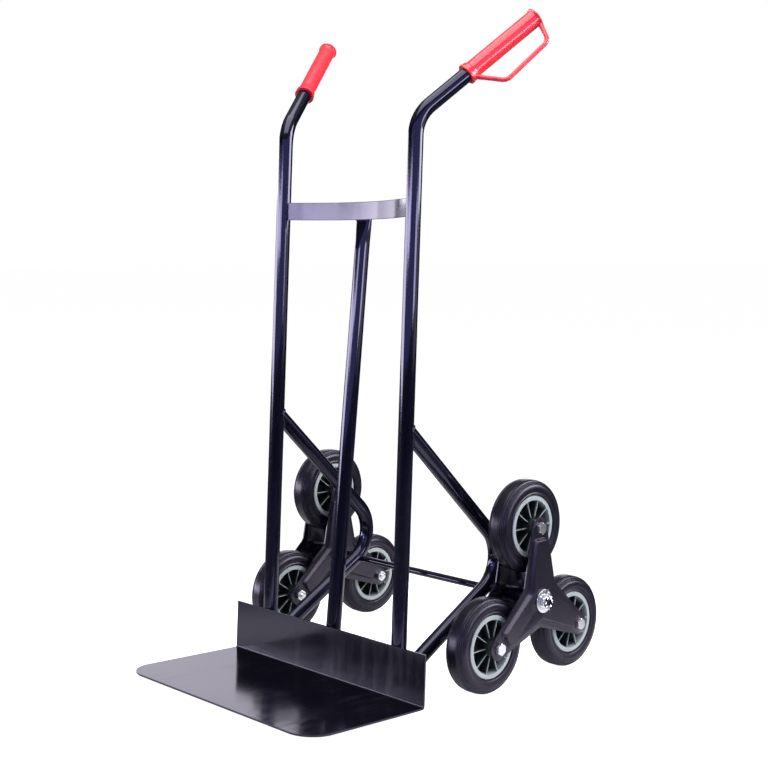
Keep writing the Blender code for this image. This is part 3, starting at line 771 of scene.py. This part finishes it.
def toe_plate():
    """Load plate and upright flange folded from one sheet, with round front corners."""
    front, back, thick = PLATE_FRONT_Y, FLANGE_BACK_Y, PLATE_THICKNESS
    outer = fillet([(front, 0), (back, 0), (back, FLANGE_HEIGHT)], HEEL_RADIUS, 10)
    flange = back - thick
    inner_corners = [(flange, FLANGE_HEIGHT), (flange, thick), (front, thick)]
    inner = fillet(inner_corners, HEEL_RADIUS - thick, 10)
    fold = prism("toe_plate", outer + inner, 2 * PLATE_HALF_WIDTH)
    across = Euler((math.pi / 2, 0, math.pi / 2)).to_matrix().to_4x4()
    fold.transform(across)
    side = PLATE_HALF_WIDTH
    plan_corners = [(-side, 0), (-side, front), (side, front), (side, 0)]
    plan = prism("plan", fillet(plan_corners, PLATE_CORNER_RADIUS, 24), 4 * FLANGE_HEIGHT)
    mesh = reshape(fold, cutting(plan, operation="INTERSECT"), eased(0.0007, 50))
    add_piece("toe_plate", smooth(mesh, FLAT_FACED), TRUCK, "sheet_paint")


def grip_turn(sign):
    """Local Z along the handle and local X toward the guard."""
    along = handle_axis(sign)
    down = along.cross(Vector((1, 0, 0))).normalized()
    outward = down.cross(along) * sign
    guard = outward * math.cos(GUARD_TURN) + down * math.sin(GUARD_TURN)
    return Matrix((guard, along.cross(guard), along)).transposed().to_4x4()


def guard_flare(share):
    """The guard's radius along its length: it swells where it joins the sleeve."""
    near_end = max(0.0, 1 - min(share, 1 - share) / 0.12)
    return GUARD_BAR_RADIUS * (1 + 0.45 * near_end**2)


def grip(side, sign):
    """Hand grip in one moulding: rimmed sleeve, closed end and knuckle guard."""
    rim, waist, length = GRIP_RIM_RADIUS, GRIP_RADIUS, GRIP_LENGTH
    flange = waist + 0.0022
    profile = [
        (0, length + 0.0016),
        (waist - 0.003, length + 0.0014),
        (waist - 0.001, length + 0.0008),
        (flange - 0.0006, length + 0.0002),
        (flange, length - 0.0004),
        (flange, length - 0.0022),
        (flange - 0.0006, length - 0.0028),
        (waist + 0.0003, length - 0.0034),
        *[(waist, length - 0.0060 - (length - 0.0195) * step / 16) for step in range(17)],
        (waist + 0.0008, 0.0115),
        (rim - 0.0012, 0.0103),
        (rim - 0.0008, 0.0095),
        (rim - 0.0008, 0.0050),
        (rim - 0.0003, 0.0042),
        (rim, 0.0036),
        (rim, 0.0004),
        (rim - 0.0004, 0),
        (0, 0),
    ]
    corners = [
        (0.006, 0, 0.003),
        (0.0530, 0, 0.038),
        (0.0465, 0, 0.1355),
        (0.006, 0, length + 0.0005),
    ]
    rounded = fillet(corners, 0.015, 12)
    path = []
    for before, after in zip(rounded, rounded[1:]):
        pieces = max(1, round((after - before).length / 0.003))
        path += [before.lerp(after, step / pieces) for step in range(pieces)]
    path.append(rounded[-1])
    bar = sweep("guard", path, guard_flare, 20)
    bore = rod("bore", TUBE_RADIUS + GAP, -0.02, length - GRIP_CAP_THICKNESS)
    mesh = reshape(
        turned("grip", profile[::-1], 72),
        cutting(bar, operation="UNION"),
        cutting(bore),
    )
    place = TRUCK @ Matrix.Translation(handle_spot(sign, GRIP_START)) @ grip_turn(sign)
    add_piece(f"grip_{side}", smooth(mesh, 40), place, "red_plastic")


# Axle and its fixings


def axle():
    """Bar right across, threaded at both ends, with a cross hole near each end."""
    inner = AXLE_HALF_LENGTH - AXLE_THREAD
    ends = threaded(AXLE_RADIUS, inner, AXLE_HALF_LENGTH - 0.0012)
    tip = [(AXLE_RADIUS - 0.0012, AXLE_HALF_LENGTH)]
    half = [(AXLE_RADIUS, inner - 0.001)] + ends + tip
    other = [(r, -z) for r, z in reversed(half)]
    profile = [(0, -AXLE_HALF_LENGTH)] + other + half + [(0, AXLE_HALF_LENGTH)]
    bar = turned("axle", profile, 48)
    holes = [
        cutting(
            rod("hole", PIN_HOLE_RADIUS, -0.02, 0.02, 24),
            Matrix.Translation((0, 0, sign * PIN_X)) @ Matrix.Rotation(math.pi / 2, 4, "X"),
        )
        for sign in SIDES.values()
    ]
    add_piece("axle", smooth(reshape(bar, *holes)), on_axle(1), "black_paint")


def hexagon(name, radius, low, high, chamfers):
    """Hexagon bar from low to high. Its corners are turned off at the chamfered ends."""
    corners = [math.pi / 6 + math.pi / 3 * corner for corner in range(6)]
    outline = [Vector((math.cos(a), math.sin(a))) * radius for a in corners]
    bar = prism(name, outline, high - low)
    bar.transform(Matrix.Translation((0, 0, (low + high) / 2)))
    cone, depth = radius * 0.90, radius * 0.10
    bottom = cone if "low" in chamfers else radius * 1.1
    top = cone if "high" in chamfers else radius * 1.1
    profile = [(0, low - GAP / 3), (bottom, low - GAP / 3), (radius * 1.05, low + depth)]
    profile += [(radius * 1.05, high - depth), (top, high + GAP / 3), (0, high + GAP / 3)]
    return reshape(bar, cutting(turned("turning", profile), operation="INTERSECT"))


def slots():
    """Three bars through the axis that cut the six slots of the castle nut's crown."""
    half = (2 * CROWN_RADIUS, PIN_HOLE_RADIUS, CROWN_HEIGHT)
    corners = [Vector((x * half[0], y * half[1])) for x, y in ((-1, -1), (1, -1), (1, 1), (-1, 1))]
    for angle in (30, 90, 150):
        bar = prism("slot", corners, 2 * half[2])
        bar.transform(Matrix.Rotation(math.radians(angle), 4, "Z"))
        yield cutting(bar, Matrix.Translation((0, 0, CASTLE_NUT_HEIGHT)))


def castle_nut(side, sign):
    """Hexagon nut whose round crown has six slots for the split pin."""
    shoulder = CASTLE_NUT_HEIGHT - CROWN_HEIGHT
    body = hexagon("castle_nut", CASTLE_NUT_RADIUS, 0, shoulder, ("low", "high"))
    crown = rod("crown", CROWN_RADIUS, shoulder / 2, CASTLE_NUT_HEIGHT)
    bore = rod("bore", AXLE_RADIUS + GAP, -0.02, 0.02)
    mesh = reshape(
        body,
        cutting(crown, operation="UNION"),
        cutting(bore),
        *slots(),
        eased(0.00025, 40),
    )
    mesh.transform(Matrix.Translation((0, 0, CASTLE_NUT_X)))
    add_piece(f"castle_nut_{side}", smooth(mesh, FLAT_FACED), on_axle(sign), "zinc_plate")


def split_pin(side, sign):
    """One wire doubled through the axle: an eye above, and two legs bent apart below."""
    half, top, eye, eye_top = PIN_HALF_WIDTH, 0.0105, 0.0026, 0.0165
    leg, toe, spread_by = -0.0115, -0.0135, 0.0045
    outline = [
        (-spread_by, toe),
        (-half, leg),
        (-half, top),
        (-eye, (top + eye_top) / 2),
        (0, eye_top),
        (eye, (top + eye_top) / 2),
        (half, top),
        (half, leg),
        (spread_by, toe),
    ]
    path = fillet([(0, y, z) for y, z in outline], 0.0014, 6)
    wire = sweep("split_pin", path, lambda share: PIN_WIRE_RADIUS, 12)
    place = TRUCK @ Matrix.Translation((sign * PIN_X, AXLE_Y, AXLE_Z))
    add_piece(f"split_pin_{side}", wire, place, "zinc_plate")


def axle_rings(side, sign):
    """The spacer inboard of the cluster and the washer outboard of it."""
    bore = AXLE_RADIUS + GAP
    low, high = SIDE_TUBE_X + TUBE_RADIUS + GAP, WHEEL_X - EMBOSS_X - GAP
    spacer = turned("axle_spacer", ring_profile(bore, SPACER_RADIUS, low, high, 0.0006), 64)
    add_piece(f"axle_spacer_{side}", spacer, on_axle(sign), "black_paint")
    low, high = WASHER_X, WASHER_X + WASHER_THICKNESS
    washer = turned("axle_washer", ring_profile(bore, WASHER_RADIUS, low, high, 0.0005))
    add_piece(f"axle_washer_{side}", washer, on_axle(sign), "zinc_plate")


# Wheel clusters


def star_outline(half_width, corner_radius, reach, waist):
    """Closed three-armed outline. Each arm ends in two rounded corners, and the sides
    of neighbouring arms run into one hollow curve that comes within the waist."""
    outline = []
    for up in (math.radians(90 - 120 * arm) for arm in range(3)):
        ahead = Vector((math.cos(up), math.sin(up)))
        left = Vector((-ahead.y, ahead.x))
        corner = ahead * (reach - corner_radius)
        aside = left * (half_width - corner_radius)
        down = up - math.radians(60)
        valley = Vector((math.cos(down), math.sin(down)))
        hollow = valley * (waist + STAR_HOLLOW_RADIUS)
        # The arm's side line passes between its corner circle and the hollow circle.
        across = hollow - (corner - aside)
        bearing = math.atan2(across.y, across.x) - down
        bearing = (bearing + math.pi) % (2 * math.pi) - math.pi + down
        side = bearing + math.acos((corner_radius + STAR_HOLLOW_RADIUS) / across.length)
        outline += arc(corner + aside, corner_radius, 2 * up - side, up, 8)
        outline += arc(corner - aside, corner_radius, up, side, 8)
        leave = side + math.pi
        back = 2 * (down + math.pi) - leave
        outline += arc(hollow, STAR_HOLLOW_RADIUS, leave, back, 10)
    return outline


def star_mesh():
    """Pressed plate: a flat lip round a raised panel with rolled-over edges."""
    foot, top = star_outline(*STAR_SLOPE_FOOT), star_outline(*STAR_SLOPE_TOP)
    outside = star_outline(*(size + STAR_FLAT_MARGIN for size in STAR_SLOPE_FOOT))
    inside = star_outline(*(size - STAR_FLAT_MARGIN for size in STAR_SLOPE_TOP))
    sections = [[(*point, 0) for point in star_outline(*STAR_LIP)]]
    sections.append([(*point, 0) for point in outside])
    for step in range(13):
        share = step / 12
        height = STAR_EMBOSS * eased_share(share, 0.3)
        between = [a.lerp(b, share) for a, b in zip(foot, top)]
        sections.append([(*point, height) for point in between])
    sections.append([(*point, STAR_EMBOSS) for point in inside])
    work = bmesh.new()
    rings = [[work.verts.new(point) for point in section] for section in sections]
    bridge(work, rings, closed=False)
    work.faces.new(rings[-1])
    skin = mesh_of(work, "star_plate")
    if skin.polygons[-1].normal.z < 0:
        skin.flip_normals()
    turns = [math.radians(90 + 120 * arm) for arm in range(3)]
    spots = [Matrix.Translation((ARM * math.cos(a), ARM * math.sin(a), 0)) for a in turns]
    holes = [cutting(rod("hole", BOLT_RADIUS + GAP, -0.02, 0.02, 32), spot) for spot in spots]
    bore = cutting(rod("bore", AXLE_RADIUS + GAP, -0.02, 0.02))
    return smooth(reshape(skin, walled(STAR_THICKNESS, -1), bore, *holes, eased(0.0004, 60)))


def tyre_mesh():
    """Solid tyre: a bead line beside the rim, bulged walls, and fine ridges round each
    shoulder of a nearly flat tread."""
    half = TYRE_HALF_WIDTH
    wall = [
        (RIM_RADIUS + GAP, half - 0.0035),
        (RIM_RADIUS + 0.0014, half - 0.0034),
        (RIM_RADIUS + 0.0022, half - 0.0014),
        (RIM_RADIUS + 0.0034, half - 0.0005),
        (RIM_RADIUS + 0.0046, half - 0.0006),
        (RIM_RADIUS + 0.0054, half - 0.0014),
        (RIM_RADIUS + 0.0066, half - 0.0012),
        (RIM_RADIUS + 0.0095, half - 0.0002),
        (RIM_RADIUS + 0.0125, half),
        (RIM_RADIUS + 0.0155, half - 0.0005),
    ]
    start = Vector((RIM_RADIUS + 0.0175, half - 0.0014))
    end = Vector((WHEEL_RADIUS - 0.0004, half - 0.0105))
    bulge = Vector((end.x, start.y - 0.0020))
    shoulder = []
    for step in range(41):
        share = step / 40
        spot = start * (1 - share) ** 2 + bulge * 2 * share * (1 - share) + end * share**2
        slope = (bulge - start) * (1 - share) + (end - bulge) * share
        outward = Vector((-slope.y, slope.x)).normalized()
        groove = TYRE_RIDGE * (1 - math.cos(2 * math.pi * TYRE_GROOVES * share)) / 2
        shoulder.append(tuple(spot - outward * groove))
    tread = [(WHEEL_RADIUS, half - 0.0125), (WHEEL_RADIUS, half - 0.0155)]
    side = wall + shoulder + tread
    return turned("tyre", side + [(r, -z) for r, z in reversed(side)], 144, 60)


def pocket(middle, top, bottom):
    """One tapering pocket between two ribs. Each end is (height, inner radius, outer
    radius, rib thickness)."""
    sections = []
    for z, inner, outer, rib in (bottom, top):
        share = math.pi / RIB_COUNT
        wide = share - math.asin(rib / 2 / outer)
        narrow = share - math.asin(rib / 2 / inner)
        rim_side = arc((0, 0), outer, middle - wide, middle + wide, 10)
        hub_side = arc((0, 0), inner, middle + narrow, middle - narrow, 4)
        sections.append([(*point, z) for point in rim_side + hub_side])
    return loft("pocket", sections)


def pockets():
    """Both faces' pockets as one mesh."""
    outer = RIM_RADIUS - RIM_RING_THICKNESS
    work = bmesh.new()
    for index in range(RIB_COUNT):
        middle = 2 * math.pi * (index + 0.5) / RIB_COUNT
        top = (RIM_HALF_WIDTH + 0.004, RIM_HUB_RADIUS + 0.0015, outer, 0.0007)
        bottom = (WEB_THICKNESS / 2, RIM_HUB_RADIUS + 0.0030, outer - 0.0045, 0.0022)
        one = pocket(middle, top, bottom)
        for facing in (0, math.pi):
            turned_one = one.copy()
            turned_one.transform(Matrix.Rotation(facing, 4, "X"))
            work.from_mesh(turned_one)
    return mesh_of(work, "pockets")


def rim_mesh():
    """Plastic wheel centre: ring, web and hub in one, with ribs between pockets."""
    half, hub_half = RIM_HALF_WIDTH, RIM_HUB_HALF_LENGTH
    disc = [(0, -half), (RIM_RADIUS - 0.0008, -half), (RIM_RADIUS, -half + 0.0008)]
    disc += [(r, -z) for r, z in reversed(disc)]
    hub = [(0, -hub_half), (RIM_HUB_RADIUS - 0.0014, -hub_half), (RIM_HUB_RADIUS, -half)]
    hub += [(r, -z) for r, z in reversed(hub)]
    return smooth(
        reshape(
            turned("rim", disc, 144),
            cutting(pockets()),
            cutting(turned("hub", hub, 64), operation="UNION"),
            cutting(rod("bore", SLEEVE_RADIUS + GAP, -0.05, 0.05)),
            eased(0.0004, 40),
        ),
        FLAT_FACED,
    )


def bolt_mesh():
    """Hexagon bolt with a washer face under its head and a threaded end."""
    under = STAR_OUTSIDE_X + GAP
    top = under + BOLT_HEAD_HEIGHT
    head = hexagon("wheel_bolt", HEXAGON_RADIUS, under + 0.0004, top, ("high",))
    end = under + NUT_HEIGHT + BOLT_RADIUS
    thread = threaded(BOLT_RADIUS, -end + 0.001, -under + 0.002)
    profile = [(0, -end), (BOLT_RADIUS - 0.0012, -end), *thread]
    profile += [(BOLT_RADIUS, -under + 0.003), (BOLT_RADIUS, under)]
    face = HEXAGON_RADIUS * 0.84
    profile += [(face, under), (face, under + 0.001), (0, under + 0.001)]
    shank = turned("shank", profile, 40)
    mesh = reshape(head, cutting(shank, operation="UNION"), eased(0.0002, 40))
    return smooth(mesh, FLAT_FACED)


def nut_mesh():
    seat = -STAR_OUTSIDE_X - GAP
    body = hexagon("wheel_nut", HEXAGON_RADIUS, seat - NUT_HEIGHT, seat, ("low", "high"))
    bore = rod("bore", BOLT_RADIUS + GAP, -0.06, 0)
    return smooth(reshape(body, cutting(bore), eased(0.0002, 40)), FLAT_FACED)


def wheel_cluster(side, sign, meshes):
    """Star plates on a hub tube, with a wheel on a bolt at each of the three arms."""
    body = f"cluster_{side}"
    hub = JOINT_AT[body]
    for face, facing in (("outer", 1), ("inner", -1)):
        spot = hub + Vector((sign * facing * STAR_OUTSIDE_X, 0, 0))
        place = outboard(sign * facing, spot)
        add_piece(f"star_plate_{face}_{side}", meshes["star"].copy(), place, "satin_paint", body)
    place = outboard(sign, hub)
    add_piece(f"hub_tube_{side}", meshes["hub"].copy(), place, "black_paint", body)
    for arm in ARMS:
        name = f"{side}_{arm}"
        place = outboard(sign, JOINT_AT[f"wheel_{name}"])
        for part in ("sleeve", "bolt", "nut"):
            mesh = meshes[part].copy()
            add_piece(f"wheel_{part}_{name}", mesh, place, "zinc_plate", body)
        add_piece(f"tyre_{name}", meshes["tyre"].copy(), place, "tyre_rubber", f"wheel_{name}")
        add_piece(f"rim_{name}", meshes["rim"].copy(), place, "rim_plastic", f"wheel_{name}")


def cluster_meshes():
    half = EMBOSS_X - STAR_THICKNESS - GAP
    hub = ring_profile(AXLE_RADIUS + GAP, HUB_TUBE_RADIUS, -half, half, 0.0005)
    half = STAR_INSIDE_X - GAP
    sleeve = ring_profile(BOLT_RADIUS + GAP, SLEEVE_RADIUS, -half, half, 0.0005)
    return {
        "star": star_mesh(),
        "hub": turned("hub_tube", hub, 64),
        "sleeve": turned("wheel_sleeve", sleeve, 48),
        "bolt": bolt_mesh(),
        "nut": nut_mesh(),
        "tyre": tyre_mesh(),
        "rim": rim_mesh(),
    }


# Stage


def floor():
    """A wide floor, plain and pale to the camera. Its own colour is pale round the truck and
    dark farther out, as a black cloth would be, so the tubes mirror no white horizon."""
    work = bmesh.new()
    work.faces.new([work.verts.new(point) for point in circle((0, 0, 0), 60, 64)])
    mesh = mesh_of(work, "floor")
    obj = bpy.data.objects.new("floor", mesh)
    bpy.context.scene.collection.objects.link(obj)
    plain = {"Roughness": 0.75, "Specular IOR Level": 0.1, "Emission Color": (1, 1, 1, 1)}
    tree, shader = new_look("floor_paint", plain)
    where = mapped(tree)
    near = blended(tree, noise(tree, where, 1.5), (0.78, 0.78, 0.79), (0.82, 0.82, 0.82))
    distance = tree.nodes.new("ShaderNodeVectorMath")
    distance.operation = "LENGTH"
    tree.links.new(where, distance.inputs[0])
    away = spread(tree, distance.outputs["Value"], 0.50, 0.75)
    colour = blended(tree, away, near, (0.07, 0.07, 0.08))
    tree.links.new(colour, shader.inputs["Base Color"])
    rays = tree.nodes.new("ShaderNodeLightPath")
    lift = combined(tree, "MULTIPLY", rays.outputs["Is Camera Ray"], 0.97)
    tree.links.new(lift, shader.inputs["Emission Strength"])
    mesh.materials.append(bpy.data.materials["floor_paint_finish"])


def softbox(name, spot, aim, size, brightness, tint=(1, 1, 1)):
    """An evenly bright rectangle of light. Its power grows with its area."""
    light = bpy.data.lights.new(name, "AREA")
    light.shape = "RECTANGLE"
    light.size, light.size_y = size
    light.energy = brightness * math.pi * size[0] * size[1]
    light.color = tint
    obj = bpy.data.objects.new(name, light)
    bpy.context.scene.collection.objects.link(obj)
    obj.location = spot
    obj.rotation_euler = (Vector(aim) - Vector(spot)).to_track_quat("-Z", "Y").to_euler()
    obj.visible_camera = False


def panel(name, bearing, far, low, high, brightness, tint):
    """An upright softbox that spans those bearings in degrees, that far from the truck."""
    middle = math.radians(sum(bearing) / 2)
    wide = 2 * far * math.tan(math.radians(bearing[1] - bearing[0]) / 2)
    spot = (far * math.cos(middle), far * math.sin(middle), (low + high) / 2)
    aim = (0, 0, spot[2])
    softbox(name, spot, aim, (wide, high - low), brightness, tint)


def surroundings():
    """A white room: plain white behind the truck, dimmer where it lights the truck."""
    world = bpy.data.worlds.new("room")
    world.use_nodes = True
    tree = world.node_tree
    background = tree.nodes["Background"]
    background.inputs["Color"].default_value = (1, 1, 1, 1)
    rays = tree.nodes.new("ShaderNodeLightPath")
    place = tree.nodes.new("ShaderNodeTexCoord")
    split = tree.nodes.new("ShaderNodeSeparateXYZ")
    tree.links.new(place.outputs["Generated"], split.inputs["Vector"])
    room = spread(tree, split.outputs["Z"], 0.35, 0.9, 0.02, 0.40)
    strength = combined(tree, "MAXIMUM", room, rays.outputs["Is Camera Ray"])
    tree.links.new(strength, background.inputs["Strength"])
    bpy.context.scene.world = world


def lights():
    """Far banks of light in front and to the left, a box on the right and one above, and
    dim fills and small cards between them. The bearings run from +X toward +Y."""
    surroundings()
    white = (1, 1, 1)
    violet = (0.92, 0.88, 1.0)
    blue = (0.42, 0.42, 1.0)
    panel("left_box", (185, 207), 14.0, 0.05, 2.55, 6.5, violet)
    panel("front_left_box", (207, 240), 14.0, 0.05, 2.60, 11.0, violet)
    panel("front_strip", (240, 266), 14.0, 2.00, 2.80, 13.0, violet)
    panel("right_box", (25, 60), 2.6, 0.82, 2.3, 12.0, white)
    panel("right_fill", (20, 62), 2.6, 0.30, 0.82, 0.9, violet)
    panel("right_card", (-4, 20), 2.6, 0.55, 0.95, 8.0, white)
    panel("left_card", (166, 186), 2.9, 0.98, 1.32, 6.0, violet)
    panel("front_card", (264, 286), 2.9, 0.98, 1.32, 9.0, violet)
    panel("front_fill", (255, 325), 3.4, 0.55, 2.6, 1.2, blue)
    panel("front_right_fill", (325, 385), 3.4, 0.55, 2.6, 1.2, blue)
    panel("back_left_card", (120, 175), 3.0, 0.35, 1.40, 1.7, violet)
    softbox("overhead_box", (0.3, -0.5, 3.0), (0, 0, 0.5), (2.6, 2.6), 3.5)


def camera():
    data = bpy.data.cameras.new("camera")
    data.sensor_width = 36
    data.lens = 63.069
    data.shift_y = -0.09505
    obj = bpy.data.objects.new("camera", data)
    bpy.context.scene.collection.objects.link(obj)
    obj.location = (1.63282, -1.54506, 0.7033)
    obj.rotation_euler = [math.radians(angle) for angle in (87.3598, 0.3342, 45.5116)]
    bpy.context.scene.camera = obj


def build():
    toe_plate()
    crossbar()
    centre_tube()
    axle()
    frame_welds()
    meshes = cluster_meshes()
    for side, sign in SIDES.items():
        side_tube(side, sign)
        wheel_brace(side, sign)
        grip(side, sign)
        axle_rings(side, sign)
        castle_nut(side, sign)
        split_pin(side, sign)
        wheel_cluster(side, sign, meshes)
    floor()
    lights()
    camera()
    bpy.context.scene.view_settings.view_transform = "Standard"


build()
